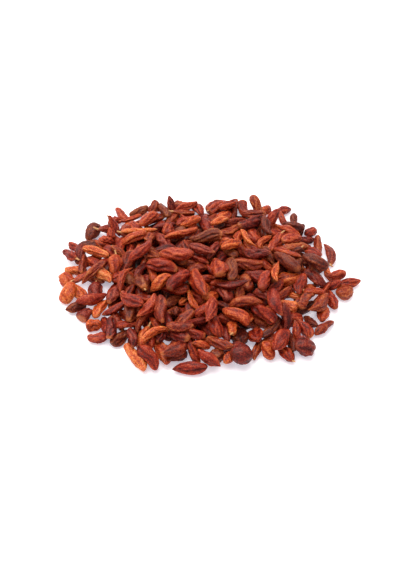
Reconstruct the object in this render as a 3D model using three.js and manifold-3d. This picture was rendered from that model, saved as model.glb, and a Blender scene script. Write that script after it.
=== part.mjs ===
// A loose heap of dried goji berries on a flat surface, as one solid: a low core with the berries that
// show fused on it. Millimetres, +Z up, +Y away from the viewer. The origin is in the middle of the base.
//
// The berries are poured one at a time on a map of the heap's upper surface. Each berry tries a few poses
// and comes to rest at the lowest, where its underside just meets the map, so that it leans on others.
import * as THREE from "three";
import Module from "manifold-3d";

// The heap: its rim's distance from the peak in steps of 30 degrees from +X towards +Y, and its heights
const PEAK = [0, 8];
const RIM_RADII = [73, 70, 69, 60, 65, 71, 75, 74, 70, 68, 69, 73];
const PEAK_HEIGHT = 12;
const RIM_HEIGHT = 4.5;
const SLOPE_POWER = 1.9; // higher is flatter on top and steeper at the rim
const POURED_BERRIES = 315;
const SEED = 44; // of the draws that pour the heap
const POUR_INSET = 6; // of the poured berries' middles from the rim

// Kinds of berry: the share of the heap, length, width to length, thickness to width, how the ends taper
// (0.5 is an ellipsoid, more is pointed), how far one end is the thicker, and how far the middle line bows
// aside, to length
const KINDS = {
  spindle: {
    share: 0.52,
    length: [11.5, 17],
    width: 0.42,
    thickness: 0.84,
    taper: [0.48, 0.64],
    skew: 0.25,
    bow: 0.07,
  },
  plump: {
    share: 0.22,
    length: [8.5, 13],
    width: 0.58,
    thickness: 0.72,
    taper: [0.42, 0.52],
    skew: 0.15,
    bow: 0.03,
  },
  sliver: {
    share: 0.12,
    length: [12, 18],
    width: 0.29,
    thickness: 0.86,
    taper: [0.5, 0.7],
    skew: 0.3,
    bow: 0.16,
  },
  crumple: {
    share: 0.14,
    length: [8, 12],
    width: 0.64,
    thickness: 0.76,
    taper: [0.4, 0.5],
    skew: 0.3,
    bow: 0.1,
  },
};

// A berry of stated size is plump over one of these widths to length, and a sliver under the other
const PLUMP_WIDTH = 0.55;
const SLIVER_WIDTH = 0.33;

// Berries laid on the bare surface first, which make the rim: x, y, heading in degrees, length, width
// and, where one stands steeply, its lean in degrees
const RIM_BERRIES = [
  [-72, 5, 100, 11.5, 8],
  [-64, -5, 118, 15, 6],
  [-65.5, -15, 15, 11, 5.5],
  [-60, -20, 60, 8.5, 7.5],
  [-55.5, -27.5, 0, 8, 7],
  [-53, -36, 3, 10.5, 6.5],
  [-49, -28, 100, 13, 5.5],
  [-43, -26, 110, 14, 6],
  [-41, -36, 46, 13.5, 6],
  [-34, -34, 66, 14, 6],
  [-33, -50, 120, 19.5, 6.5],
  [-26.5, -51, 125, 15.5, 7.5],
  [-20, -46.5, 107, 18, 8],
  [-12, -49.5, 46, 14, 4.5],
  [-6.5, -56.5, 3, 17.5, 7],
  [1, -41, 43, 16.5, 5.5],
  [6, -49, 30, 9.5, 9],
  [12.5, -51, 60, 9, 5],
  [19, -50.5, 20, 12, 10.5],
  [27, -44, 75, 14, 5],
  [32, -46, 115, 10.5, 8],
  [40.5, -46, 120, 15, 6],
  [44, -39, 95, 16, 5.5],
  [50.5, -44, 25, 12, 10.5],
  [61.5, -28.5, 44, 14.5, 5.5],
  [61.5, -20, 75, 12, 7],
  [66.5, -10.5, 105, 13.5, 7],
  [74, -4.5, 40, 10, 8.5],
  [77, 3, 15, 12.5, 6],
  [67, 8.5, 103, 15, 4],
  [68, 25, 97, 17.5, 5.5],
  [62, 29, 82, 18, 5.5],
  [59, 42, 30, 8, 7],
  [50.5, 52.5, 90, 12, 4.5],
  [44.5, 60, 28, 11.5, 5.5],
  [34, 58.5, 63, 13.5, 7.5],
  [29.5, 58.5, 115, 12, 5.5, 60],
  [22.5, 61.5, 90, 13, 5.5],
  [17, 59.5, 82, 15.5, 6],
  [8.5, 63, 38, 14.5, 9],
  [-11.5, 64, 140, 10.5, 6.5],
  [-17.5, 61.5, 120, 11, 5, 70],
  [-27, 62, 177, 12.5, 4],
  [-29.5, 52.5, 12, 17, 6],
  [-35.5, 59, 30, 12, 6],
  [-44.5, 56.5, 127, 14.5, 5],
  [-60.5, 42, 70, 12.5, 8],
  [-69, 31, 145, 10, 5],
  [-66, 24.5, 85, 14, 6.5],
  [-71, 21.5, 135, 12, 5.5],
  [-67.5, 12.5, 0, 12, 6],
  [45.5, -24, 0, 11, 9],
  [37.5, -27, 105, 12, 6],
  [51.5, -31, 120, 11.5, 6],
  [36, -36, 10, 14, 5],
  [18.5, -36.5, 100, 11, 9],
  [11.5, -34, 97, 17, 5.5],
  [-10.5, -40.5, 20, 14, 7.5],
  [-15, -34, 27, 11.5, 5],
];

// Berries laid on top of the poured ones, in the same form
const TOP_BERRIES = [
  [-2.5, -9.5, 106, 21, 7.5],
  [15.5, -9.5, 180, 17.5, 5],
  [21, -22, 175, 17, 6],
  [36.5, -22, 105, 17, 7.5],
  [4, -28, 78, 16, 7],
  [16.5, -29.5, 140, 17, 7.5],
  [-24.5, -40, 33, 16.5, 4.5],
  [-41, -4, 70, 17, 5],
  [-31.5, -6.5, 105, 15, 7],
  [32, -6, 73, 18, 6.5],
  [15, 0, 90, 17, 6.5],
  [-14, 11.5, 168, 19, 8.5],
  [-0.5, 16, 158, 14.5, 5.5],
  [9.5, 41.5, 42, 13.5, 4.5],
  [23.5, 27, 123, 15, 4],
  [44.5, 17, 150, 16, 5],
  [44, 9, 130, 19, 7],
  [-34.5, 36, 8, 20, 4],
  [-22, -8, 36, 13.5, 6.5],
  [-11.5, 31, 20, 19, 5],
  [1.5, 26, 5, 18, 7],
  [15, 18.5, 32, 13, 6.5],
  [37.5, -1, 84, 18, 5],
  [-28, -24, 62, 18, 6],
  [-21, -27, 97, 17, 6.5],
  [-36, -21, 140, 14.5, 7],
  [57, -10, 178, 12, 4.5],
  [-57.5, 5, 42, 17, 5],
  [-11.5, -38, 170, 14, 6],
  [-13, -9, 55, 16, 7.5],
  [-33, 14.5, 42, 15.5, 5.5],
  [58.5, 7, 150, 15, 7],
  [8, 1, 100, 15, 8],
];

// How the berries lie: how far they stray from the wanted place, turn and tilt while they settle
const LAID_PLAY = { shift: 0, turn: 0, tilt: 0.15 };
const POURED_PLAY = { shift: 3, turn: 0.5, tilt: 0.5 };
const TRIES = 36;
const FINE_PLAY = 0.3; // of the play, once a good pose is found
const LEANING_SHARE = 0.16; // of the poured berries, which stand steeply in their neighbours
const LEAN = 0.8;
const PRESS = 0.4; // how far a berry presses into the ones under it
const PLACES = 12; // that a poured berry chooses from, taking the one with most room

// The map's cell and reach
const CELL = 1;
const MAP_X = 100;
const MAP_Y = 90;
const ROOM_REACH = 3;

// The solid: a berry's faces, and the core under the berries
const SIDES = 5;
const RING_AT = [-0.6, 0.6]; // along a berry, whose tips are at -1 and 1
const RING_SWELL = 1.06; // of the girth there, for the bulge between the rings
const UNDERSIDE = 0.05; // the lowest that a berry reaches over the base
const SHOWN_SHARE = 0.44; // a berry that shows less than this is left inside the core
const SHOWN_DEPTH = 0.6;
const CORE_SECTORS = 36;
const CORE_RINGS = [1, 0.88, 0.72, 0.52, 0.28]; // of the core's reach
const CORE_DEPTH = 2.8; // under the heap's mean surface
const CORE_SKIRT = 1.3; // the core's least thickness
const EDGE_HEIGHT = 1.9; // the heap's mean height where the core ends
const EDGE_SEARCH = 10; // outside the rim
const FUSE_TOLERANCE = 0.1;
const FUSED_VOLUME = 1.5; // that a berry shares with the heap, so that it holds
const SCRAP_VOLUME = 20; // less than any berry
const DROP_STEP = 0.4;
const DROP_MOST = 3.6;

const { PI, abs, cos, sin, tan, sqrt, max, min, hypot, atan2, floor, ceil, round } = Math;

// Seeded draws between two values
function makeDraw(seed) {
  let state = seed;
  return (low, high) => {
    state = (1664525 * state + 1013904223) % 4294967296;
    return low + ((high - low) * state) / 4294967296;
  };
}

// The rim's distance from the peak in a direction, eased between the named ones
function rimRadius(angle) {
  const count = RIM_RADII.length;
  const step = ((angle / (2 * PI)) * count + count) % count;
  const from = floor(step) % count;
  const part = step - floor(step);
  const ease = part * part * (3 - 2 * part);
  return RIM_RADII[from] * (1 - ease) + RIM_RADII[(from + 1) % count] * ease;
}

// The mean height that the berries are poured to
function wantedHeight(x, y) {
  const [dx, dy] = [x - PEAK[0], y - PEAK[1]];
  const out = min(1, hypot(dx, dy) / rimRadius(atan2(dy, dx)));
  return RIM_HEIGHT + (PEAK_HEIGHT - RIM_HEIGHT) * (1 - out ** SLOPE_POWER);
}

// The middle line's distance to the side, for t from -1 to 1 along a berry
function bowAt(berry, t) {
  return berry.bow * berry.length * (1 / 3 - t * t);
}

// A berry's girth for t from -1 to 1, as a share of the middle's
function girthAt(berry, t) {
  return (1 - t * t) ** berry.taper * (1 + berry.skew * t);
}

// A map of the heap's upper surface, on which berries come to rest
class HeapMap {
  constructor() {
    this.columnMax = MAP_X / CELL;
    this.rowMax = MAP_Y / CELL;
    this.columns = 2 * this.columnMax + 1;
    this.heights = new Float64Array(this.columns * (2 * this.rowMax + 1));
  }

  // The cell at a column and row counted from the middle
  cell(column, row) {
    return (row + this.rowMax) * this.columns + column + this.columnMax;
  }

  // Calls visit(cell, lift, half) under a berry, with the height of its middle surface there over its
  // centre, and half its height there
  eachCell(berry, pose, visit) {
    const [c, s] = [cos(pose.heading), sin(pose.heading)];
    const reach = (berry.length / 2) * cos(pose.pitch);
    const halfWidth = (berry.width / 2) * cos(pose.roll);
    const halfHeight = berry.thickness / 2 / (cos(pose.pitch) * cos(pose.roll));
    const span = reach + berry.width;
    const [columnLow, columnHigh] = this.range(pose.x, span, this.columnMax);
    const [rowLow, rowHigh] = this.range(pose.y, span, this.rowMax);
    for (let row = rowLow; row <= rowHigh; row++)
      for (let column = columnLow; column <= columnHigh; column++) {
        const [dx, dy] = [column * CELL - pose.x, row * CELL - pose.y];
        const along = dx * c + dy * s;
        const t = along / reach;
        if (abs(t) >= 1) continue;
        const girth = girthAt(berry, t);
        const across = dy * c - dx * s - bowAt(berry, t);
        const side = across / (halfWidth * girth);
        if (abs(side) >= 1) continue;
        const lift = along * tan(pose.pitch) + across * tan(pose.roll);
        visit(this.cell(column, row), lift, halfHeight * girth * sqrt(1 - side * side));
      }
  }

  // The cells within a span of a place
  range(at, span, limit) {
    return [max(-limit, ceil((at - span) / CELL)), min(limit, floor((at + span) / CELL))];
  }

  // The height of a berry's centre where its underside meets the heap
  restingHeight(berry, pose) {
    let z = 0;
    this.eachCell(berry, pose, (cell, lift, half) => {
      const under = max(0, this.heights[cell] - PRESS);
      z = max(z, under - lift + half);
    });
    return z;
  }

  // Tries poses about the wanted one, takes the lowest and adds the berry there
  settle(berry, wanted, play, draw) {
    let best = wanted;
    let lowest = this.restingHeight(berry, wanted);
    for (let k = 0; k < TRIES; k++) {
      const [from, share] = k < TRIES / 2 ? [wanted, 1] : [best, FINE_PLAY];
      const pose = {
        x: from.x + draw(-1, 1) * play.shift * share,
        y: from.y + draw(-1, 1) * play.shift * share,
        heading: from.heading + draw(-1, 1) * play.turn * share,
        pitch: from.pitch + draw(-1, 1) * play.tilt * share,
        roll: from.roll + draw(-1, 1) * play.tilt * share,
      };
      const z = this.restingHeight(berry, pose);
      if (z < lowest) {
        lowest = z;
        best = pose;
      }
    }
    this.eachCell(berry, best, (cell, lift, half) => {
      this.heights[cell] = max(this.heights[cell], lowest + lift + half);
    });
    return { ...berry, ...best, z: lowest };
  }

  // The mean height round a place
  meanHeight(x, y) {
    const [column, row] = [round(x / CELL), round(y / CELL)];
    let sum = 0;
    for (let j = -ROOM_REACH; j <= ROOM_REACH; j++)
      for (let i = -ROOM_REACH; i <= ROOM_REACH; i++) sum += this.heights[this.cell(column + i, row + j)];
    return sum / (2 * ROOM_REACH + 1) ** 2;
  }

  // How much of a berry's upper side lies open, from 0 to 1
  shownShare(berry) {
    let shown = 0;
    let all = 0;
    this.eachCell(berry, berry, (cell, lift, half) => {
      all += 1;
      if (berry.z + lift + half > this.heights[cell] - SHOWN_DEPTH) shown += 1;
    });
    return all ? shown / all : 0;
  }
}

// A berry of a kind and size, with its own ends and bow
function shapedBerry(kind, length, width, draw) {
  const taper = draw(...kind.taper);
  const skew = kind.skew * draw(-1, 1);
  const bow = kind.bow * draw(-1, 1);
  return { length, width, thickness: width * kind.thickness, taper, skew, bow };
}

// A berry drawn from the kinds by their shares
function drawBerry(draw) {
  let pick = draw(0, 1);
  const kind = Object.values(KINDS).find((each) => (pick -= each.share) < 0) ?? KINDS.spindle;
  const length = draw(...kind.length);
  return shapedBerry(kind, length, length * kind.width * draw(0.86, 1.14), draw);
}

// A berry of a stated size, of the kind that its slimness gives
function statedBerry(length, width, draw) {
  const slimness = width / length;
  const slim = slimness < SLIVER_WIDTH ? KINDS.sliver : KINDS.spindle;
  return shapedBerry(slimness > PLUMP_WIDTH ? KINDS.plump : slim, length, width, draw);
}

// The place with most room among a few drawn inside the rim
function roomiestPlace(map, draw) {
  let best = null;
  for (let k = 0; k < PLACES; k++) {
    const angle = draw(-PI, PI);
    const distance = (rimRadius(angle) - POUR_INSET) * sqrt(draw(0, 1));
    const x = PEAK[0] + distance * cos(angle);
    const y = PEAK[1] + distance * sin(angle);
    const room = wantedHeight(x, y) - map.meanHeight(x, y);
    if (!best || room > best.room) best = { x, y, room };
  }
  return best;
}

// Pours the heap on a map and returns its berries
function pour(map) {
  const draw = makeDraw(SEED);
  const lay = ([x, y, degrees, length, width, lean = 0]) => {
    const berry = statedBerry(length, width, draw);
    const wanted = { x, y, heading: (degrees * PI) / 180, pitch: (lean * PI) / 180, roll: 0 };
    return map.settle(berry, wanted, LAID_PLAY, draw);
  };
  const pourOne = () => {
    const berry = drawBerry(draw);
    const { x, y } = roomiestPlace(map, draw);
    const heading = draw(-PI, PI);
    const lean = draw(0, 1) < LEANING_SHARE ? LEAN : 0;
    const wanted = { x, y, heading, pitch: lean * draw(-1, 1), roll: 0 };
    return map.settle(berry, wanted, POURED_PLAY, draw);
  };
  const rim = RIM_BERRIES.map(lay);
  const poured = Array.from({ length: POURED_BERRIES }, pourOne);
  return [...rim, ...poured, ...TOP_BERRIES.map(lay)];
}

// A closed mesh of rings of points between two end points
function ringGeometry(first, rings, last) {
  const sides = rings[0].length;
  const points = [first, ...rings.flat(), last];
  const at = (ring, side) => 1 + ring * sides + (side % sides);
  const faces = [];
  for (let side = 0; side < sides; side++) {
    faces.push(0, at(0, side + 1), at(0, side));
    faces.push(points.length - 1, at(rings.length - 1, side), at(rings.length - 1, side + 1));
    for (let ring = 0; ring + 1 < rings.length; ring++) {
      faces.push(at(ring, side), at(ring, side + 1), at(ring + 1, side + 1));
      faces.push(at(ring, side), at(ring + 1, side + 1), at(ring + 1, side));
    }
  }
  const geometry = new THREE.BufferGeometry();
  geometry.setAttribute("position", new THREE.Float32BufferAttribute(points.flat(), 3));
  geometry.setIndex(faces);
  return geometry;
}

// A berry where it lies: rings about its middle line, as large in section as the round berry
function berryGeometry(berry) {
  const [c, s] = [cos(berry.heading), sin(berry.heading)];
  const reach = (berry.length / 2) * cos(berry.pitch);
  const full = sqrt((2 * PI) / (SIDES * sin((2 * PI) / SIDES)));
  const halfWidth = (full * berry.width * cos(berry.roll)) / 2;
  const halfHeight = (full * berry.thickness) / 2 / (cos(berry.pitch) * cos(berry.roll));
  const place = (t, aside, up) => {
    const across = aside + bowAt(berry, t);
    const z = berry.z + t * reach * tan(berry.pitch) + aside * tan(berry.roll) + up;
    return [berry.x + t * reach * c - across * s, berry.y + t * reach * s + across * c, max(UNDERSIDE, z)];
  };
  const rings = RING_AT.map((t) =>
    Array.from({ length: SIDES }, (_, side) => {
      const turn = (2 * PI * side) / SIDES;
      const girth = RING_SWELL * girthAt(berry, t);
      return place(t, halfWidth * girth * cos(turn), halfHeight * girth * sin(turn));
    }),
  );
  return ringGeometry(place(-1, 0, 0), rings, place(1, 0, 0));
}

// How far the heap's rim berries reach from the peak in a direction
function heapReach(map, angle) {
  let reach = rimRadius(angle) + EDGE_SEARCH;
  const height = () => map.meanHeight(PEAK[0] + reach * cos(angle), PEAK[1] + reach * sin(angle));
  while (height() < EDGE_HEIGHT) reach -= CELL;
  return reach;
}

// The core: a low mound some way under the berries' upper surface, with a flat base
function coreGeometry(map) {
  const angles = Array.from({ length: CORE_SECTORS }, (_, sector) => (2 * PI * sector) / CORE_SECTORS);
  const ring = (share, height) =>
    angles.map((angle) => {
      const reach = share * heapReach(map, angle);
      const [x, y] = [PEAK[0] + reach * cos(angle), PEAK[1] + reach * sin(angle)];
      return [x, y, height(x, y)];
    });
  const skin = (x, y) => max(CORE_SKIRT, map.meanHeight(x, y) - CORE_DEPTH);
  const base = ring(CORE_RINGS[0], () => 0);
  const rings = CORE_RINGS.map((share) => ring(share, skin));
  return ringGeometry([...PEAK, 0], [base, ...rings], [...PEAK, skin(...PEAK)]);
}

const wasm = await Module();
wasm.setup();

// A closed mesh as a solid to join
function solid(geometry) {
  const vertProperties = geometry.getAttribute("position").array;
  const triVerts = new Uint32Array(geometry.index.array);
  return new wasm.Manifold(new wasm.Mesh({ numProp: 3, vertProperties, triVerts }));
}

// The greatest of a solid's pieces: what hangs clear of it and the walls of sealed hollows are left out
function greatestOf(whole) {
  return whole.decompose().reduce((best, piece) => (piece.volume() > best.volume() ? piece : best));
}

// Joins solids into one, with no sealed hollows: a piece that hangs clear of the greatest one is let down
// on it, and left out if it still hangs
function fuse(solids) {
  const pieces = wasm.Manifold.union(solids).decompose();
  const [greatest, ...loose] = pieces.sort((one, other) => other.volume() - one.volume());
  const letDown = (heap, piece) => {
    for (let drop = 0; drop <= DROP_MOST; drop += DROP_STEP) {
      const lower = piece.translate([0, 0, -drop]);
      if (heap.intersect(lower).volume() > FUSED_VOLUME) return heap.add(lower);
    }
    return heap;
  };
  const joined = loose.filter((piece) => piece.volume() > SCRAP_VOLUME).reduce(letDown, greatest);
  return greatestOf(joined);
}

const map = new HeapMap();
const shown = pour(map).filter((berry) => map.shownShare(berry) > SHOWN_SHARE);
const solids = [coreGeometry(map), ...shown.map(berryGeometry)].map(solid);
const joined = greatestOf(fuse(solids).simplify(FUSE_TOLERANCE));
const { vertProperties, triVerts } = joined.getMesh();
const heapGeometry = new THREE.BufferGeometry();
heapGeometry.setAttribute("position", new THREE.BufferAttribute(vertProperties, 3));
heapGeometry.setIndex(new THREE.BufferAttribute(triVerts, 1));
heapGeometry.computeVertexNormals();

const driedSkin = new THREE.MeshStandardMaterial({ color: 0x87382a, roughness: 0.6, metalness: 0 });
const heap = new THREE.Mesh(heapGeometry, driedSkin);
heap.name = "goji_heap";

const group = new THREE.Group();
group.add(heap);
export default group;
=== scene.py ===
"""Looks of a loose heap of dried goji berries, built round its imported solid.

The berries are poured again by the rule that shaped the solid, so that each lies where its faceted one
does, and every berry is then a wrinkled surface of its own. Lengths are in millimetres until a mesh is
made, and the frame's and Blender's are in metres.
"""

import logging
import math
from dataclasses import astuple, dataclass, field, fields, replace
from enum import Enum
from operator import attrgetter

import bpy
import numpy as np
from bpy.types import Material, Node, NodeSocket, NodeTree, Object
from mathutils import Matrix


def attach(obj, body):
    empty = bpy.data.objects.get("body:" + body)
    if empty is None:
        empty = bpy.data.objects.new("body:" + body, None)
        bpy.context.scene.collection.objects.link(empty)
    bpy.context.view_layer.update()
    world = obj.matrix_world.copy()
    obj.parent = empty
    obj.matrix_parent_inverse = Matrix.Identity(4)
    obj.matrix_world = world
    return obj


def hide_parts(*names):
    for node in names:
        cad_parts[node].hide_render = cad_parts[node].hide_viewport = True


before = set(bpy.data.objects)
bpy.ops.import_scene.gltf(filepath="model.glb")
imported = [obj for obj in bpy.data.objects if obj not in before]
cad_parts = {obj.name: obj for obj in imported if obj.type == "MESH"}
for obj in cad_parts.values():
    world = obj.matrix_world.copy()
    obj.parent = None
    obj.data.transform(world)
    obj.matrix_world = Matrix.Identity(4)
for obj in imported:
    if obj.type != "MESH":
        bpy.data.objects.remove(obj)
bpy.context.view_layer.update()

LOG = logging.getLogger("goji_heap")
NODE = "goji_heap"
BODY = "root"
MM = 0.001
LOWEST_MM = 0.03  # the least height of a skin over the floor


class Draws:
    """Seeded draws, the same on every run: the next state is (STEP state + SHIFT) mod SPAN."""

    STEP = 1664525
    SHIFT = 1013904223
    SPAN = 4294967296

    def __init__(self, seed: int) -> None:
        """Starts the draws from a seed."""
        self.state = seed

    def between(self, low: float, high: float) -> float:
        """Draws an even number between two others."""
        self.state = (self.STEP * self.state + self.SHIFT) % self.SPAN
        return low + (high - low) * self.state / self.SPAN

    def picked(self, shares: dict[Enum, float]) -> Enum:
        """Draws one of several by their shares.

        Args:
            shares: each one's share.

        Returns:
            The one drawn, or the first where rounding leaves none.
        """
        level = self.between(0, 1)
        for one, share in shares.items():
            level -= share
            if level < 0:
                return one
        return next(iter(shares))


@dataclass(frozen=True)
class KindShape:
    """How the berries of a kind are made, with widths to length and thicknesses to width."""

    share: float
    length: tuple[float, float]
    width: float
    thickness: float
    taper: tuple[float, float]
    skew: float
    bow: float


class Kind(Enum):
    """The kinds of berry, by how they dried."""

    SPINDLE = KindShape(0.52, (11.5, 17), 0.42, 0.84, (0.48, 0.64), 0.25, 0.07)
    PLUMP = KindShape(0.22, (8.5, 13), 0.58, 0.72, (0.42, 0.52), 0.15, 0.03)
    SLIVER = KindShape(0.12, (12, 18), 0.29, 0.86, (0.5, 0.7), 0.3, 0.16)
    CRUMPLE = KindShape(0.14, (8, 12), 0.64, 0.76, (0.4, 0.5), 0.3, 0.1)


class Tone(Enum):
    """The berries' colours, by how ripe they were and how they dried."""

    BRICK = "brick"
    EMBER = "ember"
    RUSSET = "russet"
    ORANGE = "orange"
    MAROON = "maroon"
    UMBER = "umber"


@dataclass(frozen=True)
class Pose:
    """Where a berry's middle is, and how it is turned, in millimetres and radians."""

    x: float
    y: float
    heading: float
    pitch: float = 0.0
    roll: float = 0.0


@dataclass
class Berry:
    """One berry: its size, the shape of its ends, its place and its colour."""

    length: float
    width: float
    thickness: float
    taper: float
    skew: float
    bow: float
    kind: Kind
    pose: Pose | None = None
    z: float = 0.0
    shown: float = 0.0
    tone: Tone | None = None


@dataclass(frozen=True)
class Laid:
    """A berry of a stated place, length, width and colour, with its heading and lean in degrees."""

    x: float
    y: float
    heading: float
    length: float
    width: float
    tone: Tone
    lean: float = 0.0


BRICK, EMBER, RUSSET, ORANGE, MAROON, UMBER = Tone

# What Laid states, for each berry of the rim.
RIM_BERRIES = (
    (-72, 5, 100, 11.5, 8, EMBER),
    (-64, -5, 118, 15, 6, ORANGE),
    (-65.5, -15, 15, 11, 5.5, UMBER),
    (-60, -20, 60, 8.5, 7.5, MAROON),
    (-55.5, -27.5, 0, 8, 7, ORANGE),
    (-53, -36, 3, 10.5, 6.5, BRICK),
    (-49, -28, 100, 13, 5.5, BRICK),
    (-43, -26, 110, 14, 6, RUSSET),
    (-41, -36, 46, 13.5, 6, UMBER),
    (-34, -34, 66, 14, 6, MAROON),
    (-33, -50, 120, 19.5, 6.5, ORANGE),
    (-26.5, -51, 125, 15.5, 7.5, BRICK),
    (-20, -46.5, 107, 18, 8, EMBER),
    (-12, -49.5, 46, 14, 4.5, RUSSET),
    (-6.5, -56.5, 3, 17.5, 7, BRICK),
    (1, -41, 43, 16.5, 5.5, EMBER),
    (6, -49, 30, 9.5, 9, UMBER),
    (12.5, -51, 60, 9, 5, ORANGE),
    (19, -50.5, 20, 12, 10.5, MAROON),
    (27, -44, 75, 14, 5, RUSSET),
    (32, -46, 115, 10.5, 8, EMBER),
    (40.5, -46, 120, 15, 6, EMBER),
    (44, -39, 95, 16, 5.5, UMBER),
    (50.5, -44, 25, 12, 10.5, MAROON),
    (61.5, -28.5, 44, 14.5, 5.5, RUSSET),
    (61.5, -20, 75, 12, 7, EMBER),
    (66.5, -10.5, 105, 13.5, 7, BRICK),
    (74, -4.5, 40, 10, 8.5, RUSSET),
    (77, 3, 15, 12.5, 6, EMBER),
    (67, 8.5, 103, 15, 4, ORANGE),
    (68, 25, 97, 17.5, 5.5, MAROON),
    (62, 29, 82, 18, 5.5, RUSSET),
    (59, 42, 30, 8, 7, BRICK),
    (50.5, 52.5, 90, 12, 4.5, UMBER),
    (44.5, 60, 28, 11.5, 5.5, BRICK),
    (34, 58.5, 63, 13.5, 7.5, EMBER),
    (29.5, 58.5, 115, 12, 5.5, RUSSET, 60),
    (22.5, 61.5, 90, 13, 5.5, EMBER),
    (17, 59.5, 82, 15.5, 6, RUSSET),
    (8.5, 63, 38, 14.5, 9, EMBER),
    (-11.5, 64, 140, 10.5, 6.5, RUSSET),
    (-17.5, 61.5, 120, 11, 5, MAROON, 70),
    (-27, 62, 177, 12.5, 4, ORANGE),
    (-29.5, 52.5, 12, 17, 6, BRICK),
    (-35.5, 59, 30, 12, 6, UMBER),
    (-44.5, 56.5, 127, 14.5, 5, BRICK),
    (-60.5, 42, 70, 12.5, 8, UMBER),
    (-69, 31, 145, 10, 5, BRICK),
    (-66, 24.5, 85, 14, 6.5, MAROON),
    (-71, 21.5, 135, 12, 5.5, BRICK),
    (-67.5, 12.5, 0, 12, 6, ORANGE),
    (45.5, -24, 0, 11, 9, BRICK),
    (37.5, -27, 105, 12, 6, MAROON),
    (51.5, -31, 120, 11.5, 6, BRICK),
    (36, -36, 10, 14, 5, ORANGE),
    (18.5, -36.5, 100, 11, 9, UMBER),
    (11.5, -34, 97, 17, 5.5, MAROON),
    (-10.5, -40.5, 20, 14, 7.5, MAROON),
    (-15, -34, 27, 11.5, 5, MAROON),
)

# The same for the berries that are laid on top.
TOP_BERRIES = (
    (-2.5, -9.5, 106, 21, 7.5, EMBER),
    (15.5, -9.5, 180, 17.5, 5, MAROON),
    (21, -22, 175, 17, 6, RUSSET),
    (36.5, -22, 105, 17, 7.5, BRICK),
    (4, -28, 78, 16, 7, BRICK),
    (16.5, -29.5, 140, 17, 7.5, EMBER),
    (-24.5, -40, 33, 16.5, 4.5, ORANGE),
    (-41, -4, 70, 17, 5, EMBER),
    (-31.5, -6.5, 105, 15, 7, UMBER),
    (32, -6, 73, 18, 6.5, BRICK),
    (15, 0, 90, 17, 6.5, UMBER),
    (-14, 11.5, 168, 19, 8.5, BRICK),
    (-0.5, 16, 158, 14.5, 5.5, MAROON),
    (9.5, 41.5, 42, 13.5, 4.5, ORANGE),
    (23.5, 27, 123, 15, 4, ORANGE),
    (44.5, 17, 150, 16, 5, EMBER),
    (44, 9, 130, 19, 7, UMBER),
    (-34.5, 36, 8, 20, 4, ORANGE),
    (-22, -8, 36, 13.5, 6.5, ORANGE),
    (-11.5, 31, 20, 19, 5, EMBER),
    (1.5, 26, 5, 18, 7, UMBER),
    (15, 18.5, 32, 13, 6.5, ORANGE),
    (37.5, -1, 84, 18, 5, ORANGE),
    (-28, -24, 62, 18, 6, BRICK),
    (-21, -27, 97, 17, 6.5, RUSSET),
    (-36, -21, 140, 14.5, 7, BRICK),
    (57, -10, 178, 12, 4.5, EMBER),
    (-57.5, 5, 42, 17, 5, RUSSET),
    (-11.5, -38, 170, 14, 6, RUSSET),
    (-13, -9, 55, 16, 7.5, BRICK),
    (-33, 14.5, 42, 15.5, 5.5, BRICK),
    (58.5, 7, 150, 15, 7, UMBER),
    (8, 1, 100, 15, 8, EMBER),
)


@dataclass(frozen=True)
class Play:
    """How far a berry strays from its wanted place, turns and tilts while it settles."""

    shift: float
    turn: float
    tilt: float


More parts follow.
